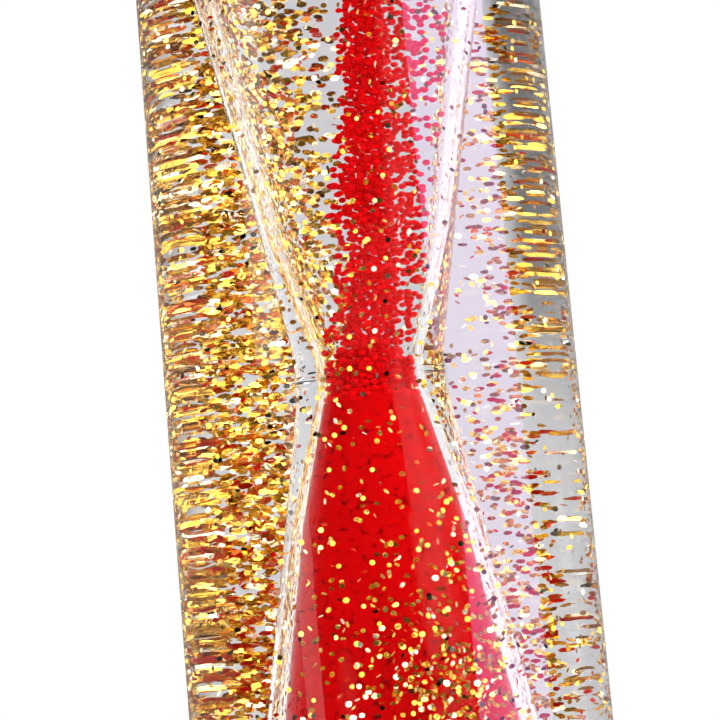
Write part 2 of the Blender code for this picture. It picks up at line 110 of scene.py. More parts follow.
def other_end(outline):
    """The same outline upside down, for the bottle's upper end."""
    return [(r, 2 * MIDDLE - z) for r, z in outline]


# %% [markdown]
# ## The camera
#
# The view is a close-up of the bottle's middle, from a little below it, with the bottle leaning in the
# frame. A long lens keeps the tube's sides nearly parallel. The bottle stands upright here, so the camera
# is rolled instead. The place of the neck in a frame of 720 pixels decides where the camera aims.

# %% Place the camera
IMAGE_SIZE = 720
NECK_PIXEL = (371, 381)
PIXELS_PER_METRE = 10270
CAMERA_DISTANCE = 0.200
CAMERA_RISE = math.radians(8.0)
CAMERA_ROLL = math.radians(5.0)
SENSOR_WIDTH = 36.0

forward = Vector((0.0, math.cos(CAMERA_RISE), math.sin(CAMERA_RISE)))
level_right = Vector((1.0, 0.0, 0.0))
level_up = Vector((0.0, -math.sin(CAMERA_RISE), math.cos(CAMERA_RISE)))
right = level_right * math.cos(CAMERA_ROLL) - level_up * math.sin(CAMERA_ROLL)
up = level_up * math.cos(CAMERA_ROLL) + level_right * math.sin(CAMERA_ROLL)
aim = Vector((0.0, 0.0, MIDDLE))
aim -= right * (NECK_PIXEL[0] - IMAGE_SIZE / 2) / PIXELS_PER_METRE
aim += up * (NECK_PIXEL[1] - IMAGE_SIZE / 2) / PIXELS_PER_METRE

bpy.ops.object.camera_add(location=aim - forward * CAMERA_DISTANCE)
camera = bpy.context.active_object
camera.name = "close_up_camera"
camera.rotation_euler = Matrix((right, up, -forward)).transposed().to_euler()
camera.data.sensor_width = SENSOR_WIDTH
camera.data.lens = PIXELS_PER_METRE * CAMERA_DISTANCE * SENSOR_WIDTH / IMAGE_SIZE
camera.data.clip_start = 0.005
bpy.context.scene.camera = camera
print(f"camera {CAMERA_DISTANCE * 1000:.0f} mm away, lens {camera.data.lens:.0f} mm")

# %% [markdown]
# ## The studio
#
# A clear object is lit by what surrounds it, and gold flakes show nothing but what they mirror. So the
# world is a small photo studio, painted by direction: wide softboxes on the right, narrow ones on the left,
# one high in front, pale sheets behind, and dim walls between them. A direction is given as a bearing, in
# degrees round the bottle from the camera's side towards the right, and as the height of the view ray, from
# -1 straight down to 1 straight up.

# %% Helpers for painting the world
world = bpy.data.worlds.new("studio")
bpy.context.scene.world = world
world.use_nodes = True
world.cycles.sampling_method = "NONE"
world_nodes = world.node_tree.nodes
world_links = world.node_tree.links
world_nodes.clear()


def world_math(operation, *inputs):
    """A Math node in the world, with numbers or other nodes' results as inputs."""
    node = world_nodes.new("ShaderNodeMath")
    node.operation = operation
    for index, value in enumerate(inputs):
        if isinstance(value, (int, float)):
            node.inputs[index].default_value = value
        else:
            world_links.new(value, node.inputs[index])
    return node.outputs[0]


direction = world_nodes.new("ShaderNodeTexCoord")
axes = world_nodes.new("ShaderNodeSeparateXYZ")
world_links.new(direction.outputs["Generated"], axes.inputs[0])
toward_camera = world_math("MULTIPLY", axes.outputs["Y"], -1.0)
bearing = world_math("ARCTAN2", axes.outputs["X"], toward_camera)
ray_height = axes.outputs["Z"]


def softbox(start_degrees, end_degrees, low, high, level):
    """A bright panel between two bearings and two heights."""
    middle = math.radians((start_degrees + end_degrees) / 2)
    half = math.radians((end_degrees - start_degrees) / 2)
    across = world_math("COMPARE", bearing, middle, half)
    upward = world_math("COMPARE", ray_height, (low + high) / 2, (high - low) / 2)
    return world_math("MULTIPLY", world_math("MULTIPLY", across, upward), level)


print("world nodes so far:", len(world_nodes))

# %% [markdown]
# The softboxes are what the tube and the flakes mirror. The tall, wide ones on the right are reflected down
# the tube's right side. They hang in tiers, because a slanted face mirrors higher ones than an upright face
# does: the tube shows the low tiers, and the hourglass's cone and flare the upper ones. The sheets behind
# are lit only for reflections inside the clear walls, where they draw the bright lines along the hourglass.

# %% Hang the softboxes
WALL_LEVEL = 0.035
GROUND = -0.20
SKYLINE = 0.14
CONE_VIEW = 0.32
FLARE_VIEW = 0.47
FLARE_TOP = 0.60
HIGH = 0.66
STEEP = 0.90
ZENITH = 1.01
right_panels = [
    softbox(35, 87, SKYLINE, CONE_VIEW, 3.4),
    softbox(38, 100, CONE_VIEW, FLARE_VIEW, 4.2),
    softbox(50, 95, FLARE_VIEW, FLARE_TOP, 4.2),
    softbox(41.6, 87, GROUND, SKYLINE, 2.9),
]
other_panels = [
    softbox(-64, -47, SKYLINE, CONE_VIEW, 2.2),
    softbox(-50, -40, GROUND, SKYLINE, 1.2),
    softbox(-180, -96, GROUND, HIGH, 0.25),
    softbox(104, 180, GROUND, HIGH, 0.25),
    softbox(-70, 70, HIGH, STEEP, 11.0),
    softbox(-180, -70, HIGH, STEEP, 1.6),
    softbox(70, 180, HIGH, STEEP, 1.6),
    softbox(-180, 180, STEEP, ZENITH, 1.2),
]
back_sheets = [softbox(-180, -112, GROUND, HIGH, 0.75), softbox(112, 180, GROUND, HIGH, 0.75)]


def total(levels):
    """The sum of several levels."""
    result = levels[0]
    for level in levels[1:]:
        result = world_math("ADD", result, level)
    return result


right_light = total(right_panels)
print(len(right_panels) + len(other_panels), "softboxes and", len(back_sheets), "sheets")

# %% [markdown]
# What is seen straight past the bottle is plain white. What is seen through it, bent sideways by the
# liquid, is the sheet behind the bottle, which is a little greyer, and darkens towards its sides. Light
# that has bounced off anything sees the softboxes. Light Path tells the three apart. The shine that the
# softboxes on the right leave on outer faces is rosy.

# %% Shade the sheet behind the bottle
def fade(value, start, end, first_level, last_level):
    """A level that changes smoothly between two values of an input."""
    node = world_nodes.new("ShaderNodeMapRange")
    node.interpolation_type = "SMOOTHSTEP"
    world_links.new(value, node.inputs["Value"])
    node.inputs["From Min"].default_value = start
    node.inputs["From Max"].default_value = end
    node.inputs["To Min"].default_value = first_level
    node.inputs["To Max"].default_value = last_level
    return node.outputs["Result"]


SHEET_LEVEL = 0.72
LEFT_EDGE_LEVEL = 0.45
LOW_RIGHT_LEVEL = 0.70
HIGH_RIGHT_LEVEL = 0.17
BLEND = 0.06
high_right = fade(ray_height, SKYLINE - BLEND, SKYLINE + BLEND, LOW_RIGHT_LEVEL, HIGH_RIGHT_LEVEL)
seen_at_right = fade(bearing, math.radians(-156), math.radians(-146), 1.0, 0.0)
seen_at_left = fade(bearing, math.radians(126), math.radians(150), LEFT_EDGE_LEVEL, SHEET_LEVEL)
is_left_half = world_math("GREATER_THAN", bearing, 0.0)
right_half = world_math("ADD", high_right, world_math("MULTIPLY", seen_at_right, SHEET_LEVEL))
right_half = world_math("SUBTRACT", right_half, world_math("MULTIPLY", seen_at_right, high_right))
left_part = world_math("MULTIPLY", seen_at_left, is_left_half)
right_part = world_math("MULTIPLY", right_half, world_math("SUBTRACT", 1.0, is_left_half))
backdrop = world_math("ADD", left_part, right_part)

# %% Join direct view, view through the bottle, and reflections
GREEN_LOSS = 0.50
BLUE_GAIN = 0.25
path = world_nodes.new("ShaderNodeLightPath")
is_inside = world_math("GREATER_THAN", path.outputs["Transmission Depth"], 0.5)
sheets = world_math("MULTIPLY", total(back_sheets), is_inside)
mirrored = world_math("ADD", total([right_light] + other_panels + [sheets]), WALL_LEVEL)
bounces = world_math("ADD", path.outputs["Glossy Depth"], path.outputs["Diffuse Depth"])
is_reflection = world_math("GREATER_THAN", bounces, 0.5)
is_straight = path.outputs["Is Camera Ray"]
is_through = world_math("SUBTRACT", world_math("SUBTRACT", 1.0, is_reflection), is_straight)
light = world_math("ADD", world_math("MULTIPLY", mirrored, is_reflection), is_straight)
light = world_math("ADD", light, world_math("MULTIPLY", backdrop, is_through))
background = world_nodes.new("ShaderNodeBackground")
background.inputs["Strength"].default_value = 1.0
is_outer_shine = world_math("MULTIPLY", is_reflection, world_math("SUBTRACT", 1.0, is_inside))
outer_shine = world_math("MULTIPLY", right_light, is_outer_shine)
light_colour = world_nodes.new("ShaderNodeCombineXYZ")
world_links.new(light, light_colour.inputs["X"])
less_green = world_math("SUBTRACT", light, world_math("MULTIPLY", outer_shine, GREEN_LOSS))
more_blue = world_math("ADD", light, world_math("MULTIPLY", outer_shine, BLUE_GAIN))
world_links.new(less_green, light_colour.inputs["Y"])
world_links.new(more_blue, light_colour.inputs["Z"])
world_links.new(light_colour.outputs[0], background.inputs["Color"])
world_output = world_nodes.new("ShaderNodeOutputWorld")
world_links.new(background.outputs[0], world_output.inputs["Surface"])
bpy.context.scene.view_settings.view_transform = "Standard"
print("studio painted with", len(world_nodes), "nodes")

# %% [markdown]
# The floor is a plain pale sheet that keeps the bottle's shadow. Light passes many clear faces on its way
# through the bottle, so the limits on its bounces are raised.

# %% Floor and light bounces
FLOOR_SIZE = 0.7
FLOOR_COLOUR = (0.93, 0.93, 0.93, 1.0)
FLOOR_ROUGHNESS = 0.8
CLEAR_BOUNCES = 28
OTHER_BOUNCES = 8
bpy.ops.mesh.primitive_plane_add(size=FLOOR_SIZE, location=(0, 0, bottle_low[2]))
floor = bpy.context.active_object
floor.name = "floor"
floor_paint = bpy.data.materials.new("floor_paint")
floor_paint.use_nodes = True
floor_shader = floor_paint.node_tree.nodes["Principled BSDF"]
floor_shader.inputs["Base Color"].default_value = FLOOR_COLOUR
floor_shader.inputs["Roughness"].default_value = FLOOR_ROUGHNESS
floor.data.materials.append(floor_paint)
bpy.context.scene.cycles.max_bounces = CLEAR_BOUNCES
bpy.context.scene.cycles.transmission_bounces = CLEAR_BOUNCES
bpy.context.scene.cycles.glossy_bounces = OTHER_BOUNCES
bpy.context.scene.cycles.diffuse_bounces = OTHER_BOUNCES
print("floor placed, up to", CLEAR_BOUNCES, "bounces")


# %% [markdown]
# ## Helpers for modelling
#
# Nearly every piece here is a turned shape. By hand it would be drawn as a row of extruded points, at a
# radius and a height, and spun about the bottle's axis, as on a lathe. The helpers do just that. A finished
# piece then rides on one of the model's bodies, takes one of its finishes, and stands for the solids that
# it replaces.


# %% Draw and spin an outline
ROUND_STEPS = 192
COARSE_STEPS = 128
WELD_DISTANCE = 2e-6
SMOOTH_ANGLE = math.radians(30)


def spun(name, outline, steps=ROUND_STEPS):
    """Extrudes a row of (radius, height) points and spins it about the bottle's axis into a solid."""
    if outline[0][0] > 0.0:
        outline = outline + [outline[0]]
    bpy.ops.object.select_all(action="DESELECT")
    bpy.ops.mesh.primitive_plane_add(size=0.001)
    piece = bpy.context.active_object
    piece.name = name
    bpy.ops.object.mode_set(mode="EDIT")
    bpy.ops.mesh.merge(type="CENTER")
    bpy.ops.transform.translate(value=(outline[0][0], 0.0, outline[0][1]))
    for (r, z), (next_r, next_z) in zip(outline, outline[1:]):
        step = (next_r - r, 0.0, next_z - z)
        bpy.ops.mesh.extrude_vertices_move(TRANSFORM_OT_translate={"value": step})
    bpy.ops.mesh.select_all(action="SELECT")
    bpy.ops.mesh.spin(steps=steps, angle=math.tau, center=(0, 0, 0), axis=(0, 0, 1))
    bpy.ops.mesh.select_all(action="SELECT")
    bpy.ops.mesh.remove_doubles(threshold=WELD_DISTANCE)
    bpy.ops.mesh.normals_make_consistent(inside=False)
    bpy.ops.object.mode_set(mode="OBJECT")
    bpy.ops.object.shade_smooth_by_angle(angle=SMOOTH_ANGLE)
    return piece


def subdivided(outline, longest):
    """The same outline with points added, so that no stretch of it is longer than this."""
    points = [outline[0]]
    for (r, z), (next_r, next_z) in zip(outline, outline[1:]):
        pieces = max(1, math.ceil(math.hypot(next_r - r, next_z - z) / longest))
        for step in range(1, pieces + 1):
            points.append((r + (next_r - r) * step / pieces, z + (next_z - z) * step / pieces))
    return points


def arc(centre, radius, start_degrees, end_degrees, steps):
    """Points along a round corner of an outline."""
    points = []
    for step in range(steps + 1):
        angle = math.radians(start_degrees + (end_degrees - start_degrees) * step / steps)
        points.append((centre[0] + radius * math.cos(angle), centre[1] + radius * math.sin(angle)))
    return points


def dress(piece, material, body, slot, *nodes):
    """Gives a piece its finish, and makes it ride on a body and stand for its solids."""
    if material:
        piece.data.materials.clear()
        piece.data.materials.append(material)
    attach(piece, body)
    if nodes:
        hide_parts(*nodes)
    print(piece.name, len(piece.data.polygons), "faces")


# %% [markdown]
# ## Clear plastic
#
# Light bends where one clear material meets another, by the ratio of their indices. The tube's outer face
# meets air, so it bends light by the full index of acrylic. Every other clear face is wet: plastic against
# a watery liquid, which bends light much less. With these ratios the liquid needs no shape of its own. The
# clear plastics have no colour or grain, but polishing leaves hair-fine marks along the tube, and moulding
# leaves slow waves in the hourglass. Both are bumps made from stretched noise.


# %% Helpers for finishes
def new_finish(name, colour, roughness):
    """A new material with a plain colour and roughness, with its nodes, links and Principled shader."""
    material = bpy.data.materials.new(name)
    material.use_nodes = True
    tree = material.node_tree
    shader = tree.nodes["Principled BSDF"]
    shader.inputs["Base Color"].default_value = (*colour, 1.0)
    shader.inputs["Roughness"].default_value = roughness
    return material, tree.nodes, tree.links, shader


def noise_on_object(nodes, links, scale, detail=3.0):
    """Noise in the piece's own coordinates, with its own scale in each direction."""
    place = nodes.new("ShaderNodeTexCoord")
    mapping = nodes.new("ShaderNodeMapping")
    mapping.inputs["Scale"].default_value = scale
    noise = nodes.new("ShaderNodeTexNoise")
    noise.inputs["Scale"].default_value = 1.0
    noise.inputs["Detail"].default_value = detail
    links.new(place.outputs["Object"], mapping.inputs["Vector"])
    links.new(mapping.outputs["Vector"], noise.inputs["Vector"])
    return noise.outputs["Fac"]


def add_bump(nodes, links, shader, pattern, distance):
    """Raises the surface by a pattern, up to a distance in metres."""
    bump = nodes.new("ShaderNodeBump")
    bump.inputs["Strength"].default_value = 1.0
    bump.inputs["Distance"].default_value = distance
    links.new(pattern, bump.inputs["Height"])
    links.new(bump.outputs["Normal"], shader.inputs["Normal"])


def colour_ramp(nodes, links, pattern, stops):
    """Turns a pattern into colours, through stops of a position and a colour."""
    ramp = nodes.new("ShaderNodeValToRGB")
    elements = ramp.color_ramp.elements
    while len(elements) < len(stops):
        elements.new(0.5)
    for element, (position, colour) in zip(elements, stops):
        element.position = position
        element.color = (*colour, 1.0)
    links.new(pattern, ramp.inputs[0])
    return ramp.outputs["Color"]


# %% Clear finishes
ACRYLIC_INDEX = 1.49
STYRENE_INDEX = 1.59
LIQUID_INDEX = 1.40


def clear_finish(name, index, tint, marks, depth):
    """A clear material of a given index, with a faint tint and faint surface marks."""
    material, nodes, links, shader = new_finish(name, tint, 0.0)
    shader.inputs["IOR"].default_value = index
    shader.inputs["Transmission Weight"].default_value = 1.0
    add_bump(nodes, links, shader, noise_on_object(nodes, links, marks), depth)
    return material


WET_ACRYLIC = ACRYLIC_INDEX / LIQUID_INDEX
WET_STYRENE = STYRENE_INDEX / LIQUID_INDEX
tube_outside = clear_finish("tube_outside", ACRYLIC_INDEX, (0.975, 0.975, 0.985), (1400, 1400, 40), 1.5e-6)
tube_inside = clear_finish("tube_inside", WET_ACRYLIC, (0.965, 0.965, 0.985), (300, 300, 20), 2e-6)
hourglass_clear = clear_finish("hourglass_clear", WET_STYRENE, (0.985, 0.985, 0.995), (250, 250, 60), 3e-6)
clear_ends = clear_finish("clear_ends", WET_STYRENE, (0.95, 0.955, 0.965), (300, 300, 300), 4e-6)
cemented, nodes, links, shader = new_finish("cemented", (1.0, 1.0, 1.0), 0.0)
shader.inputs["IOR"].default_value = 1.0
shader.inputs["Transmission Weight"].default_value = 1.0
print("wet hourglass index", round(WET_STYRENE, 4))

# %% [markdown]
# ## The casing tube
#
# A tube is a cylinder without ends, made solid inwards by a Solidify modifier, with broken edges from a
# bevel. Its two faces need different indices, so the inner face gets a material of its own, picked out by
# its radius.

# %% Make the casing tube
TUBE_EDGE = 0.0004
tube_length = tube_high[2] - tube_low[2]
bpy.ops.object.select_all(action="DESELECT")
bpy.ops.mesh.primitive_cylinder_add(
    vertices=ROUND_STEPS,
    radius=TUBE_RADIUS,
    depth=tube_length,
    end_fill_type="NOTHING",
    location=(0, 0, (tube_low[2] + tube_high[2]) / 2),
)
casing_tube = bpy.context.active_object
casing_tube.name = "casing_tube"
bpy.ops.object.transform_apply(location=True, rotation=True, scale=True)
wall = casing_tube.modifiers.new("wall", "SOLIDIFY")
wall.thickness = TUBE_WALL
wall.offset = -1.0
wall.use_even_offset = True
bpy.ops.object.modifier_apply(modifier="wall")
edges = casing_tube.modifiers.new("edges", "BEVEL")
edges.width = TUBE_EDGE
edges.segments = 2
edges.limit_method = "ANGLE"
edges.angle_limit = math.radians(60)
bpy.ops.object.modifier_apply(modifier="edges")
bpy.ops.object.shade_smooth_by_angle(angle=math.radians(15))
dress(casing_tube, tube_outside, "casing", "clear_tube", "outer_tube")
casing_tube.data.materials.append(tube_inside)
for face in casing_tube.data.polygons:
    is_inner = math.hypot(face.center.x, face.center.y) < TUBE_BORE + TUBE_EDGE / 4
    face.material_index = 1 if is_inner else 0
print(sum(face.material_index for face in casing_tube.data.polygons), "faces are wet")

# %% [markdown]
# ## The hourglass
#
# The hourglass is two funnels. Each has a rim with a step for its lid, a long cone that is thickest at its
# neck, and a joint at the neck: a socket on the lower half, and on the upper half a spigot that plugs into
# it. Cement fills the joint, so light passes it as if it weren't there: its faces get a clear finish with
# an index of 1. Only the small grooves at its ends show.

# %% Outlines of the funnels
SPIGOT_LENGTH = 0.0012
SPIGOT_WALL = 0.0005
JOINT_GAP = 0.00002
JOINT_GROOVE = 0.00012
RIM_BORE = MOUTH_RADIUS - FUNNEL_WALL + LID_SHOULDER
FLARE_END = CONE_END - NECK_FLARE
ROW_HEIGHT = 0.0016


def funnel_outline(neck):
    """One half of the hourglass, with the given points at its neck."""
    rim_side = [(RIM_BORE, RIM_END), (MOUTH_RADIUS, RIM_END)]
    outside = rim_side + [(MOUTH_RADIUS, CONE_START), (NECK_RADIUS, CONE_END)]
    inside = [
        (NECK_BORE, CONE_END),
        (float(bore_radius(FLARE_END)), FLARE_END),
        (MOUTH_RADIUS - FUNNEL_WALL, CONE_START),
        (MOUTH_RADIUS - FUNNEL_WALL, SHOULDER),
        (RIM_BORE, SHOULDER),
    ]
    return subdivided(outside + neck + inside, ROW_HEIGHT)


neck_end = MIDDLE - JOINT_GAP / 2
neck_edge = [(NECK_RADIUS, neck_end - JOINT_GROOVE), (NECK_RADIUS - JOINT_GROOVE, neck_end)]
socket_seat = neck_end - SPIGOT_LENGTH - JOINT_GAP
socket_bore = NECK_BORE + SPIGOT_WALL + JOINT_GAP
socket = neck_edge + [(socket_bore, neck_end), (socket_bore, socket_seat), (NECK_BORE, socket_seat)]
spigot_tip = MIDDLE + JOINT_GAP / 2 + SPIGOT_LENGTH
spigot_radius = NECK_BORE + SPIGOT_WALL
spigot = neck_edge + [(spigot_radius, neck_end), (spigot_radius, spigot_tip), (NECK_BORE, spigot_tip)]
print("outline points:", len(funnel_outline(socket)))


# %% Spin the funnels and cement their joint
def cement_joint(funnel):
    """Gives the hidden faces of a funnel's joint the finish of cement."""
    funnel.data.materials.append(cemented)
    for face in funnel.data.polygons:
        reach = math.hypot(face.center.x, face.center.y)
        is_hidden = NECK_BORE + JOINT_GAP < reach < NECK_RADIUS - JOINT_GROOVE
        if is_hidden and abs(face.center.z - MIDDLE) < SPIGOT_LENGTH + 2 * JOINT_GAP:
            face.material_index = 1
    print(sum(face.material_index for face in funnel.data.polygons), "cemented faces")


lower_cone = spun("lower_cone", funnel_outline(socket))
upper_cone = spun("upper_cone", other_end(funnel_outline(spigot)))
dress(lower_cone, hourglass_clear, "casing", "clear_hourglass", "lower_funnel")
dress(upper_cone, hourglass_clear, "casing", "clear_hourglass", "upper_funnel")
cement_joint(lower_cone)
cement_joint(upper_cone)

# %% [markdown]
# ## Beads
#
# The microbeads are bright red plastic, a little over half a millimetre across. One bead is a ball of 80
# faces. Thousands of separate objects would be slow, so a helper joins copies of it into one mesh. Each
# copy gets a tone between 0 and 1 in an attribute, from which the finish varies its colour.


# %% Join many copies of a pattern
def copies(name, pattern, centres, turns, sizes, tones):
    """One mesh of many copies of a pattern, each at its own place, turn and size."""
    corners = np.array([vertex.co[:] for vertex in pattern.data.vertices])
    faces = [face.vertices[:] for face in pattern.data.polygons]
    placed = np.einsum("nij,vj->nvi", turns * sizes[:, None, None], corners) + centres[:, None, :]
    all_faces = []
    for start in range(0, len(centres) * len(corners), len(corners)):
        all_faces.extend([start + corner for corner in face] for face in faces)
    mesh = bpy.data.meshes.new(name)
    mesh.from_pydata(placed.reshape(-1, 3).tolist(), [], all_faces)
    tone = mesh.attributes.new("tone", "FLOAT", "POINT")
    tone.data.foreach_set("value", np.repeat(tones, len(corners)).astype(np.float32))
    piece = bpy.data.objects.new(name, mesh)
    bpy.context.scene.collection.objects.link(piece)
    return piece


def random_turns(chance, count):
    """Rotations that point every way alike."""
    quaternions = chance.normal(size=(count, 4))
    quaternions /= np.linalg.norm(quaternions, axis=1, keepdims=True)
    w, x, y, z = quaternions.T
    rows = [
        [1 - 2 * (y * y + z * z), 2 * (x * y - w * z), 2 * (x * z + w * y)],
        [2 * (x * y + w * z), 1 - 2 * (x * x + z * z), 2 * (y * z - w * x)],
        [2 * (x * z - w * y), 2 * (y * z + w * x), 1 - 2 * (x * x + y * y)],
    ]
    return np.moveaxis(np.array(rows), 2, 0)


def spaced(candidates, least):
    """Keeps each candidate place that is at least this far from all those kept before it."""
    kept = np.empty((len(candidates), 3))
    count = 0
    for place in candidates:
        if count == 0 or np.min(np.sum((kept[:count] - place) ** 2, axis=1)) > least * least:
            kept[count] = place
            count += 1
    return kept[:count]


def read_tone(nodes):
    """Each copy's own tone."""
    tone = nodes.new("ShaderNodeAttribute")
    tone.attribute_name = "tone"
    return tone.outputs["Fac"]


# %% Bead finish and bead pattern
BEAD_DIAMETER = 0.00057
BEAD_REACH = BEAD_DIAMETER / 2
red_bead, nodes, links, shader = new_finish("red_bead", (0.84, 0.002, 0.006), 0.38)
bead_tones = [(0.0, (0.84, 0.0, 0.002)), (0.4, (0.97, 0.0, 0.002)), (1.0, (0.99, 0.003, 0.006))]
bead_colour = colour_ramp(nodes, links, read_tone(nodes), bead_tones)
links.new(bead_colour, shader.inputs["Base Color"])
shader.inputs["IOR"].default_value = 1.09
add_bump(nodes, links, shader, noise_on_object(nodes, links, (9000, 9000, 9000)), 1.2e-5)

bpy.ops.object.select_all(action="DESELECT")
bpy.ops.mesh.primitive_ico_sphere_add(subdivisions=2, radius=BEAD_REACH)
bead_pattern = bpy.context.active_object
bead_pattern.name = "bead_pattern"
print("a bead has", len(bead_pattern.data.polygons), "faces")


def bead_piece(name, places, chance):
    """Beads at these places, joined in one mesh."""
    count = len(places)
    sizes = chance.uniform(0.90, 1.04, count)
    piece = copies(name, bead_pattern, places, random_turns(chance, count), sizes, chance.random(count))
    piece.data.shade_smooth()
    return piece


# %% [markdown]
# ## The rising stream
#
# Beads leave the neck in a dense column that leans to one side and slowly narrows as it rises. Places are
# drawn at random, most of them in the column's core and some at its ragged edge, and a place is kept only
# if it is clear of the beads placed before it. A few strays climb along the hourglass's wall on the side
# that the column leans to.

# %% Shape of the stream
plume_low, plume_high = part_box("bead_plume")
PLUME_FOOT = plume_low[2]
PLUME_HEIGHT = plume_high[2] - plume_low[2]
PLUME_RADIUS = 0.0029
PLUME_LEAN = 0.0029
PLUME_LEAN_RATE = 2.6
PLUME_SWAY = 0.0003
PLUME_SWAYS = 1.6
PLUME_FOOT_WIDTH = 1.03
PLUME_TAPER = 0.22
PLUME_BILLOWS = ((0.07, 2.6), (0.05, 5.3))
TIP_STEEPNESS = 9.0
TIP_WIDTH = 0.2


def plume_drift(height):
    """How far sideways the stream has moved at a height."""
    share = np.maximum(0.0, height - PLUME_FOOT) / PLUME_HEIGHT
    lean = PLUME_LEAN * (1.0 - np.exp(-PLUME_LEAN_RATE * share))
    sway = PLUME_SWAY * np.sin(math.tau * PLUME_SWAYS * share)
    return lean + sway * np.minimum(1.0, 3.0 * share)


def plume_radius(height):
    """Half the stream's width at a height. It tapers, billows and ends in a round tip."""
    share = np.maximum(0.0, height - PLUME_FOOT) / PLUME_HEIGHT
    billows = sum(depth * np.cos(math.tau * count * share) for depth, count in PLUME_BILLOWS)
    round_end = np.minimum(1.0, np.sqrt(np.maximum(0.0, 1.0 - share) * TIP_STEEPNESS) + TIP_WIDTH)
    return PLUME_RADIUS * (PLUME_FOOT_WIDTH - PLUME_TAPER * share + billows) * round_end


# %% Place the rising beads
CORE_CANDIDATES = 30000
EDGE_CANDIDATES = 1900
STRAY_CANDIDATES = 110
STRAY_START = 0.12
STRAY_RUN = 0.85
STRAY_NEAREST = 0.72
STRAY_SPREAD = math.radians(38)
LEAST_GAP = BEAD_DIAMETER * 1.02
WALL_GAP = BEAD_DIAMETER * 0.55
STRAY_WALL_GAP = BEAD_DIAMETER * 0.6

chance = np.random.default_rng(11)


def stream_candidates(count, inner_share, outer_share, lean_share):
    """Random places between two shares of the stream's radius, inside the bore, with a share of its lean."""
    heights = PLUME_FOOT + (PLUME_HEIGHT - BEAD_REACH) * chance.random(count)
    turns = chance.random(count) * math.tau
    shares = np.sqrt(chance.uniform(inner_share**2, outer_share**2, count))
    x = lean_share * plume_drift(heights) + shares * plume_radius(heights) * np.cos(turns)
    y = shares * plume_radius(heights) * np.sin(turns)
    clear = np.hypot(x, y) < bore_radius(heights) - WALL_GAP
    return np.stack([x, y, heights], axis=1)[clear]


core = stream_candidates(CORE_CANDIDATES, 0.0, 0.60, 0.60)
ragged_edge = stream_candidates(EDGE_CANDIDATES, 0.40, 1.16, 0.95)
stray_climbs = STRAY_START + STRAY_RUN * chance.random(STRAY_CANDIDATES)
stray_heights = PLUME_FOOT + PLUME_HEIGHT * stray_climbs
stray_shares = chance.uniform(STRAY_NEAREST, 1.0, STRAY_CANDIDATES)
stray_reach = (bore_radius(stray_heights) - STRAY_WALL_GAP) * stray_shares
stray_turns = chance.normal(0.0, STRAY_SPREAD, STRAY_CANDIDATES)
stray_x = stray_reach * np.cos(stray_turns)
stray_y = stray_reach * np.sin(stray_turns)
strays = np.stack([stray_x, stray_y, stray_heights], axis=1)
stream_places = spaced(np.concatenate([core, ragged_edge, strays]), LEAST_GAP)
print(len(stream_places), "beads in the stream")

# %% Model the rising beads
stream_beads = bead_piece("rising_stream_1", stream_places, chance)
dress(stream_beads, red_bead, "rising_beads", "red_beads", "bead_plume")

# %% [markdown]
# ## Packed beads
#
# In the lower half the beads float up against the cone and pack so tightly that they look like one red
# body, with tiny dark pits between beads. So the body is spun to the cone's bore and gets a finish of small
# cells, each painted darker towards its edge: painted shade for the pits between beads. Where it isn't
# pressed against a wall, over its domed crown in the neck and at its foot, loose beads cover it. The heap
# under the upper lid is made the same way.

# %% Finish of packed beads
red_packed, nodes, links, shader = new_finish("red_packed", (0.86, 0.002, 0.004), 0.42)
place = nodes.new("ShaderNodeTexCoord")
cells = nodes.new("ShaderNodeTexVoronoi")
cells.inputs["Scale"].default_value = 1.0 / BEAD_DIAMETER
links.new(place.outputs["Object"], cells.inputs["Vector"])
# Each cell is painted darker towards its edge, as painted shade in the pits between the packed beads.
packed_painted_shade_tones = [(0.55, (0.80, 0.0, 0.001)), (0.75, (0.71, 0.0, 0.001)), (0.95, (0.30, 0.0, 0.0))]
packed_colour_with_painted_shade = colour_ramp(nodes, links, cells.outputs["Distance"], packed_painted_shade_tones)
links.new(packed_colour_with_painted_shade, shader.inputs["Base Color"])
shader.inputs["IOR"].default_value = 1.04
add_bump(nodes, links, shader, cells.outputs["Distance"], -1.5e-5)

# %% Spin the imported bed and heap
WALL_CLEARANCE = 0.00005
HEAP_RIM_DEPTH = 0.010
bed_low, bed_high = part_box("bead_bed")
heap_low, heap_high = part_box("bead_heap")
HEAP_EDGE = heap_high[2] - HEAP_RIM_DEPTH


def along_bore(low, high, rows):
    """Points just inside the hourglass's bore, from one height to another, its corners among them."""
    heights = [low + (high - low) * row / rows for row in range(rows + 1)]
    corners = [MIDDLE - NECK_STRAIGHT - NECK_FLARE, MIDDLE - NECK_STRAIGHT]
    heights = sorted(heights + [corner for corner in corners if low < corner < high])
    return [(float(bore_radius(z)) - WALL_CLEARANCE, z) for z in heights]


PEAK_DEPTH = 0.0013
RIM_DEPTH = 0.0040
CROWN_PEAK = bed_high[2] - PEAK_DEPTH
CROWN_RIM = bed_high[2] - RIM_DEPTH
crown_reach = float(bore_radius(CROWN_RIM)) - WALL_CLEARANCE
bed_foot = bed_low[2] + BEAD_DIAMETER


def crown_height(radius):
    """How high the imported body's domed top is at a radius."""
    return CROWN_PEAK - (CROWN_PEAK - CROWN_RIM) * (radius / crown_reach) ** 2


crown_radii = [crown_reach * share for share in (1.0, 0.8, 0.6, 0.4, 0.2, 0.0)]
crown_face = [(radius, crown_height(radius)) for radius in crown_radii]
bed_outline = [(0.0, bed_foot)] + along_bore(bed_foot, CROWN_RIM, 24)[:-1] + crown_face
packed_bed = spun("packed_bed", bed_outline, steps=COARSE_STEPS)
dress(packed_bed, red_packed, "casing", "red_beads", "bead_bed")

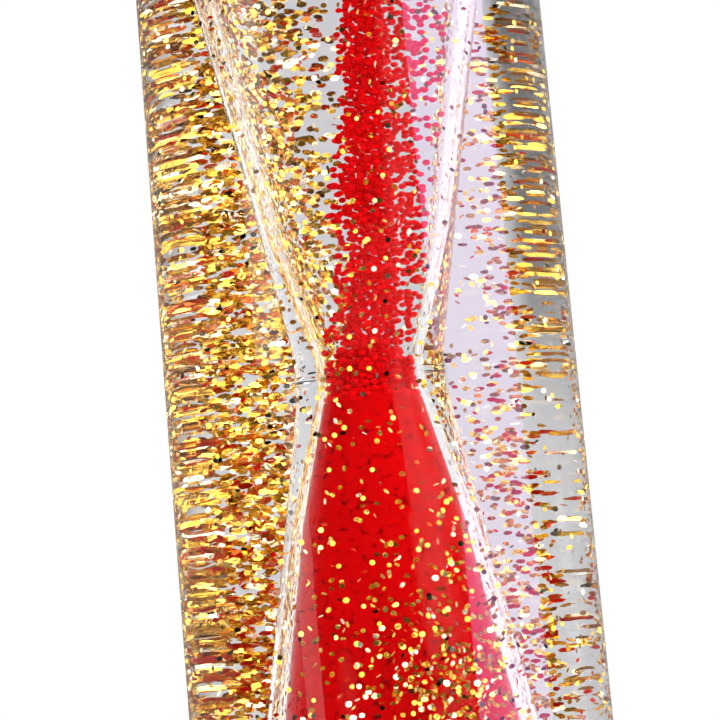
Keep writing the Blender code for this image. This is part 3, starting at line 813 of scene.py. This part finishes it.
heap_tip = heap_low[2] + BEAD_DIAMETER * 0.8
heap_under = [(0.0, heap_tip), (0.0025, heap_tip + 0.0003), (0.0060, heap_tip + 0.0014)]
heap_outline = heap_under + along_bore(HEAP_EDGE + BEAD_DIAMETER, heap_high[2], 8) + [(0.0, heap_high[2])]
gathered_heap = spun("gathered_heap", heap_outline, steps=COARSE_STEPS)
dress(gathered_heap, red_packed, "casing", "red_beads", "bead_heap")


# %% Cover the open faces with loose beads
def cover(outline, count, chance):
    """Random places on the surface that an outline sweeps, spread evenly as seen from above."""
    radii = np.array([point[0] for point in outline])
    heights = np.array([point[1] for point in outline])
    widest = radii.max()
    drawn = np.sqrt(chance.random(count)) * widest
    turns = chance.random(count) * math.tau
    lift = np.interp(drawn, radii, heights)
    return np.stack([drawn * np.cos(turns), drawn * np.sin(turns), lift], axis=1)


def inside_bore(places):
    """Those places whose bead stays clear of the hourglass's wall."""
    return places[np.hypot(places[:, 0], places[:, 1]) < bore_radius(places[:, 2]) - BEAD_REACH]


CROWN_CANDIDATES = 15000
FACE_CANDIDATES = 9000
CROWN_SINK = 0.3
FOOT_SINK = 0.2
HEAP_SINK = 0.15
PACKED_GAP = LEAST_GAP * 0.94

chance = np.random.default_rng(23)
sunk_face = [(radius, height - CROWN_SINK * BEAD_DIAMETER) for radius, height in reversed(crown_face)]
crown = cover(sunk_face, CROWN_CANDIDATES, chance)
crown[:, 2] += (bed_high[2] - crown[:, 2]) * chance.random(len(crown))
foot_reach = float(bore_radius(bed_foot)) - BEAD_REACH
foot_face = [(0.0, bed_foot - BEAD_DIAMETER * FOOT_SINK), (foot_reach, bed_foot)]
foot = cover(foot_face, FACE_CANDIDATES, chance)
bed_places = spaced(inside_bore(np.concatenate([crown, foot])), PACKED_GAP)
bed_beads = bead_piece("bed_beads", bed_places, chance)
dress(bed_beads, red_bead, "casing", "red_beads")

heap_reach = float(bore_radius(HEAP_EDGE)) - BEAD_REACH
under_face = heap_under + [(heap_reach, HEAP_EDGE + BEAD_DIAMETER)]
under = cover([(r, z - BEAD_DIAMETER * HEAP_SINK) for r, z in under_face], FACE_CANDIDATES, chance)
heap_beads = bead_piece("heap_beads", spaced(inside_bore(under), LEAST_GAP), chance)
dress(heap_beads, red_bead, "casing", "red_beads")

# %% [markdown]
# ## Glitter
#
# The flakes are hexagons cut from gold film, half a millimetre across. One flake is a thin six-sided plate.
# The flakes hang in the liquid between the hourglass and the tube, turned every way. They are thickest at
# the back on the left, and below the neck also in front, with a swarm low down. The film is a mirror, so
# it shows the studio. A few flakes are painted near black, as painted shade for flakes that mirror the dark
# parts of the studio. A few are painted copper, as a painted reflection of the red beads and caps. About a
# fifth are painted pale, as painted highlights, so that they look nearly white.

# %% Gold finish and flake pattern
FLAKE_WIDTH = 0.00047
FLAKE_THICKNESS = 0.000004
gold_film, nodes, links, shader = new_finish("gold_film", (1.0, 0.66, 0.20), 0.14)
# The darkest tones are painted shade and the copper tones a painted reflection of the red beads and caps. The
# palest tones are painted highlights. The gold tones between them vary at random.
painted_shade_flake_tones = [(0.0, (0.020, 0.016, 0.008)), (0.060, (0.040, 0.030, 0.012))]
painted_reflection_tones = [(0.065, (0.55, 0.06, 0.02)), (0.080, (0.70, 0.20, 0.03))]
gold_tones = [(0.085, (0.50, 0.33, 0.05)), (0.25, (0.85, 0.54, 0.06))]
gold_tones += [(0.45, (1.0, 0.65, 0.10)), (0.74, (1.0, 0.69, 0.15))]
painted_highlight_tones = [(0.75, (1.0, 0.88, 0.56)), (1.0, (1.0, 0.90, 0.64))]
film_tones_with_painted_light = painted_shade_flake_tones + painted_reflection_tones + gold_tones + painted_highlight_tones
film_colour_with_painted_light = colour_ramp(nodes, links, read_tone(nodes), film_tones_with_painted_light)
links.new(film_colour_with_painted_light, shader.inputs["Base Color"])
shader.inputs["Metallic"].default_value = 1.0
add_bump(nodes, links, shader, noise_on_object(nodes, links, (5000, 5000, 5000), 2.0), 1.0e-5)

bpy.ops.object.select_all(action="DESELECT")
bpy.ops.mesh.primitive_cylinder_add(vertices=3, radius=FLAKE_WIDTH / math.sqrt(3), depth=FLAKE_THICKNESS)
flake_pattern = bpy.context.active_object
flake_pattern.name = "flake_pattern"
bpy.ops.object.mode_set(mode="EDIT")
bpy.ops.mesh.select_mode(type="FACE")
bpy.ops.mesh.select_all(action="DESELECT")
bpy.ops.object.mode_set(mode="OBJECT")
for face in flake_pattern.data.polygons:
    face.select = face.normal.z > 0.5
bpy.ops.object.mode_set(mode="EDIT")
bpy.ops.transform.rotate(value=math.radians(60), orient_axis="Z", center_override=(0, 0, 0))
bpy.ops.mesh.select_all(action="SELECT")
bpy.ops.mesh.quads_convert_to_tris(quad_method="SHORTEST_DIAGONAL")
bpy.ops.mesh.select_mode(type="VERT")
bpy.ops.object.mode_set(mode="OBJECT")
corners = [vertex.co for vertex in flake_pattern.data.vertices]
corner_turns = {round(math.degrees(math.atan2(corner.y, corner.x))) % 360 for corner in corners}
print("corners of a flake at", sorted(corner_turns))
print("a flake has", len(flake_pattern.data.polygons), "faces")

# %% [markdown]
# Places are drawn at random, and each keeps its flake by a chance that depends on its bearing and height. The
# shares named below are these chances: sparse everywhere, more on the left and low in front, most in the
# swarm. Bearings are in degrees round the axis, from the right-hand side by way of the back.

# %% Place the flakes
CHANNEL_LOW = CONE_START + 0.001
CHANNEL_HIGH = 2 * MIDDLE - CHANNEL_LOW
FLAKE_REACH = FLAKE_WIDTH * 0.65
GLITTER_CANDIDATES = 190000
ADRIFT_SIZES = (0.84, 1.12)
SPARSE = 0.025
THINNED = 0.013
LEFT_HAZE = 0.07
LOW_FRONT = 0.25
SWARM = 0.22
WALL_DUST = 0.02
UPPER_RIGHT = 0.62
LOWER_RIGHT = 0.56


def nearness(turn, degrees, spread_degrees):
    """1 at a bearing round the axis, falling off on both sides of it."""
    away = np.angle(np.exp(1j * (turn - math.radians(degrees))))
    return np.exp(-((away / math.radians(spread_degrees)) ** 2))


def drift_thickness(turn, height):
    """How thick the drifting glitter is at a bearing and a height, from 0 to 1."""
    below = np.clip((MIDDLE - 0.010 - height) / 0.022, 0.0, 1.0)
    far_below = np.clip((MIDDLE - 0.020 - height) / 0.006, 0.0, 1.0)
    sparse = SPARSE - THINNED * nearness(turn, 20, 60) * (1.0 - below)
    left_haze = LEFT_HAZE * nearness(turn, 130, 50)
    low_front = LOW_FRONT * below * nearness(turn, 292, 32)
    swarm = SWARM * far_below * nearness(turn, 290, 20)
    return sparse + left_haze + low_front + swarm


def wall_thickness(turn, height):
    """How thickly flakes cover the tube's wall at a bearing and a height, from 0 to 1."""
    degrees = np.degrees(turn)
    lower_half = np.clip((MIDDLE - height) / 0.010 + 0.5, 0.0, 1.0)
    left_back = np.clip((degrees - 91) / 17, 0.0, 1.0) * np.clip((150 - degrees) / 32, 0.0, 1.0)
    upper_right = UPPER_RIGHT * (1.0 - lower_half) * nearness(turn, 64, 4)
    lower_right = LOWER_RIGHT * lower_half * nearness(turn, 67, 5.5)
    right_back = upper_right + lower_right
    return np.minimum(1.0, WALL_DUST + left_back + right_back)


chance = np.random.default_rng(5)
turn = chance.random(GLITTER_CANDIDATES) * math.tau
flake_height = chance.uniform(CHANNEL_LOW, CHANNEL_HIGH, GLITTER_CANDIDATES)
reach = np.sqrt(chance.random(GLITTER_CANDIDATES)) * (TUBE_BORE - FLAKE_REACH)
in_channel = reach > cone_radius(flake_height) + FLAKE_REACH
keep = in_channel & (chance.random(GLITTER_CANDIDATES) < drift_thickness(turn, flake_height))
adrift = np.stack([reach * np.cos(turn), reach * np.sin(turn), flake_height], axis=1)[keep]
adrift_turns = random_turns(chance, len(adrift))
adrift_sizes = chance.uniform(*ADRIFT_SIZES, len(adrift))
print(len(adrift), "flakes adrift")

# %% [markdown]
# Glitter also settles on the tube's wall and lies flat against it, each flake a little askew. Seen through
# the round liquid, these flakes are drawn out sideways into the long bright streaks of the left third. The
# thick layer there has the coarser flakes of the mix. No flake on the wall gets the near-black painted
# shade, but some get the painted copper reflection and some the pale painted highlights.

# %% Lay flakes on the tube's wall
WALL_CANDIDATES = 100000
WALL_TILT = math.tan(math.radians(25))
LAID_DEPTHS = (0.00028, 0.0007)
# This range of tones leaves out the near-black painted shade and takes in some painted copper reflections and
# painted highlights.
LAID_TONES = (0.07, 0.90)
LAID_SIZES = (0.84, 1.05)
COARSE_SCALE = 1.30
FINE_SCALE = 0.95


def laid_on_wall(turn, chance):
    """Rotations that lay flakes against the tube's wall, spun freely and tilted a little."""
    count = len(turn)
    level = np.zeros(count)
    outward = np.stack([np.cos(turn), np.sin(turn), level], axis=1)
    along = np.stack([-np.sin(turn), np.cos(turn), level], axis=1)
    upward = np.stack([level, level, level + 1.0], axis=1)
    normal = outward + along * chance.uniform(-WALL_TILT, WALL_TILT, (count, 1))
    normal += upward * chance.uniform(-WALL_TILT, WALL_TILT, (count, 1))
    normal /= np.linalg.norm(normal, axis=1, keepdims=True)
    side = np.cross(upward, normal)
    side /= np.linalg.norm(side, axis=1, keepdims=True)
    ahead = np.cross(normal, side)
    spin = chance.uniform(0.0, math.tau, (count, 1))
    first = side * np.cos(spin) + ahead * np.sin(spin)
    second = ahead * np.cos(spin) - side * np.sin(spin)
    return np.stack([first, second, normal], axis=2)


turn = chance.random(WALL_CANDIDATES) * math.tau
flake_height = chance.uniform(CHANNEL_LOW, CHANNEL_HIGH, WALL_CANDIDATES)
keep = chance.random(WALL_CANDIDATES) < wall_thickness(turn, flake_height)
turn = turn[keep]
flake_height = flake_height[keep]
reach = TUBE_BORE - chance.uniform(*LAID_DEPTHS, len(turn))
laid = np.stack([reach * np.cos(turn), reach * np.sin(turn), flake_height], axis=1)
flake_places = np.concatenate([adrift, laid])
flake_turns = np.concatenate([adrift_turns, laid_on_wall(turn, chance)])
is_coarse = nearness(turn, 104, 20) > 0.4
laid_scales = np.where(is_coarse, COARSE_SCALE, FINE_SCALE)
laid_sizes = chance.uniform(*LAID_SIZES, len(laid)) * laid_scales
flake_sizes = np.concatenate([adrift_sizes, laid_sizes])
flake_tones = np.concatenate([chance.random(len(adrift)), chance.uniform(*LAID_TONES, len(laid))])
print(len(laid), "flakes on the wall")

# %% Model the flakes, drift by drift
drift_nodes = sorted(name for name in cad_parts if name.startswith("glitter_drift"))
drift_boxes = np.array([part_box(name) for name in drift_nodes])
drift_middles = drift_boxes.mean(axis=1)
away = np.linalg.norm(flake_places[:, None, :] - drift_middles[None, :, :], axis=2)
nearest_drift = np.argmin(away, axis=1)
for index, drift_node in enumerate(drift_nodes):
    mine = nearest_drift == index
    name = drift_node.replace("glitter_drift", "gold_flakes")
    own = [values[mine] for values in (flake_places, flake_turns, flake_sizes, flake_tones)]
    flakes = copies(name, flake_pattern, *own)
    dress(flakes, gold_film, "drifting_glitter", "gold_glitter", drift_node)

bpy.data.objects.remove(flake_pattern)
bpy.data.objects.remove(bead_pattern)

# %% [markdown]
# ## Caps
#
# A cap is a turned cup of glossy moulded plastic, with a round corner, a round lip and shallow flutes for
# grip. The outline gets many rows in its grip zone, so that the flutes can run out smoothly at both ends.

# %% Cap finish
cap_red, nodes, links, shader = new_finish("cap_red", (0.60, 0.012, 0.015), 0.25)
cap_cloud = noise_on_object(nodes, links, (60, 60, 60), 4.0)
cap_tones = [(0.3, (0.57, 0.010, 0.014)), (0.7, (0.63, 0.014, 0.017))]
links.new(colour_ramp(nodes, links, cap_cloud, cap_tones), shader.inputs["Base Color"])
handled = nodes.new("ShaderNodeMapRange")
links.new(noise_on_object(nodes, links, (220, 220, 500), 6.0), handled.inputs["Value"])
handled.inputs["From Min"].default_value = 0.35
handled.inputs["From Max"].default_value = 0.70
handled.inputs["To Min"].default_value = 0.20
handled.inputs["To Max"].default_value = 0.32
links.new(handled.outputs["Result"], shader.inputs["Roughness"])
add_bump(nodes, links, shader, noise_on_object(nodes, links, (1600, 1600, 1600)), 4e-6)

# %% Outline of a cap
cap_low, cap_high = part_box("bottom_cap")
pad_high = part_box("bottom_foot_pad")[1]
CAP_RADIUS = cap_high[0]
CAP_FACE = cap_low[2]
CAP_END = cap_high[2]
CAP_CORNER = 0.0022
CAP_LIP = 0.0007
CAP_MARGIN = 0.0012
CAP_FLOOR = 0.0022
CAP_BORE = TUBE_RADIUS + FIT_GAP
PAD_RADIUS = pad_high[0]
PAD_SEAT = pad_high[2] + FIT_GAP
CAP_ROWS = 16
grip_low = CAP_FACE + CAP_CORNER + CAP_MARGIN
grip_high = CAP_END - CAP_LIP - CAP_MARGIN

cap_outline = [(0.0, PAD_SEAT), (PAD_RADIUS + FIT_GAP, PAD_SEAT), (PAD_RADIUS + FIT_GAP, CAP_FACE)]
cap_outline += arc((CAP_RADIUS - CAP_CORNER, CAP_FACE + CAP_CORNER), CAP_CORNER, -90, 0, 8)
grip_step = (grip_high - grip_low) / CAP_ROWS
cap_outline += [(CAP_RADIUS, grip_low + grip_step * row) for row in range(CAP_ROWS + 1)]
cap_outline += arc((CAP_RADIUS - CAP_LIP, CAP_END - CAP_LIP), CAP_LIP, 0, 90, 5)
cap_outline += [(CAP_BORE, CAP_END), (CAP_BORE, PAD_SEAT + CAP_FLOOR), (0.0, PAD_SEAT + CAP_FLOOR)]

# %% Spin the caps and draw in their flutes
FLUTES = 12
FLUTE_DEPTH = 0.0009
FLUTE_RUN_OUT = 0.0025


def draw_flutes(cap, low, high):
    """Moves the cap's outer wall inwards between its ribs, fading out at both ends of the grip zone."""
    for vertex in cap.data.vertices:
        radius = math.hypot(vertex.co.x, vertex.co.y)
        inset = min(vertex.co.z - low, high - vertex.co.z)
        if radius > CAP_RADIUS - CAP_LIP / 2 and inset > 0.0:
            run_in = min(1.0, inset / FLUTE_RUN_OUT)
            smooth = run_in * run_in * (3.0 - 2.0 * run_in)
            wave = 0.5 - 0.5 * math.cos(FLUTES * math.atan2(vertex.co.y, vertex.co.x))
            scale = (radius - FLUTE_DEPTH * wave * smooth) / radius
            vertex.co.x *= scale
            vertex.co.y *= scale


bottom = spun("bottom_fluted_cap", cap_outline)
draw_flutes(bottom, grip_low, grip_high)
dress(bottom, cap_red, "casing", "caps", "bottom_cap")
top = spun("top_fluted_cap", other_end(cap_outline))
draw_flutes(top, 2 * MIDDLE - grip_high, 2 * MIDDLE - grip_low)
dress(top, cap_red, "casing", "caps", "top_cap")

# %% [markdown]
# ## Foot pads and the pieces inside the ends
#
# A foot pad is a disc of matte rubber with a softened edge. The plugs, seals, lids and stoppers are hidden
# by the caps, so their solids are kept, and only get finishes: clear plastic, black rubber and milky
# silicone.

# %% Rubber and silicone
rubber, nodes, links, shader = new_finish("black_rubber", (0.05, 0.05, 0.055), 0.75)
dust = noise_on_object(nodes, links, (900, 900, 900), 5.0)
dust_tones = [(0.35, (0.040, 0.040, 0.044)), (0.75, (0.075, 0.074, 0.076))]
links.new(colour_ramp(nodes, links, dust, dust_tones), shader.inputs["Base Color"])
add_bump(nodes, links, shader, noise_on_object(nodes, links, (5000, 5000, 5000)), 2.5e-5)

silicone, nodes, links, shader = new_finish("milky_silicone", (0.78, 0.78, 0.76), 0.5)
cloud = noise_on_object(nodes, links, (500, 500, 500))
cloud_tones = [(0.3, (0.74, 0.74, 0.72)), (0.7, (0.82, 0.82, 0.80))]
links.new(colour_ramp(nodes, links, cloud, cloud_tones), shader.inputs["Base Color"])
shader.inputs["Subsurface Weight"].default_value = 0.3
shader.inputs["Subsurface Scale"].default_value = 0.001
add_bump(nodes, links, shader, noise_on_object(nodes, links, (2500, 2500, 2500)), 8e-6)

# %% Spin the foot pads
PAD_EDGE = 0.0003
pad_outline = [(0.0, 0.0)]
pad_outline += arc((PAD_RADIUS - PAD_EDGE, PAD_EDGE), PAD_EDGE, -90, 0, 4)
pad_outline += [(PAD_RADIUS, pad_high[2]), (0.0, pad_high[2])]
bottom_pad = spun("bottom_rubber_pad", pad_outline, steps=COARSE_STEPS)
dress(bottom_pad, rubber, "casing", "foot_pads", "bottom_foot_pad")
top_pad = spun("top_rubber_pad", other_end(pad_outline), steps=COARSE_STEPS)
dress(top_pad, rubber, "casing", "foot_pads", "top_foot_pad")

# %% Finish the solids that are kept
kept_finishes = {
    "o_ring": rubber,
    "cushion_ring": silicone,
    "stopper": silicone,
    "plug": clear_ends,
    "lid": clear_ends,
}
for name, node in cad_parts.items():
    for ending, material in kept_finishes.items():
        if name.endswith(ending):
            node.data.materials.clear()
            node.data.materials.append(material)
            print(name, "gets", material.name)
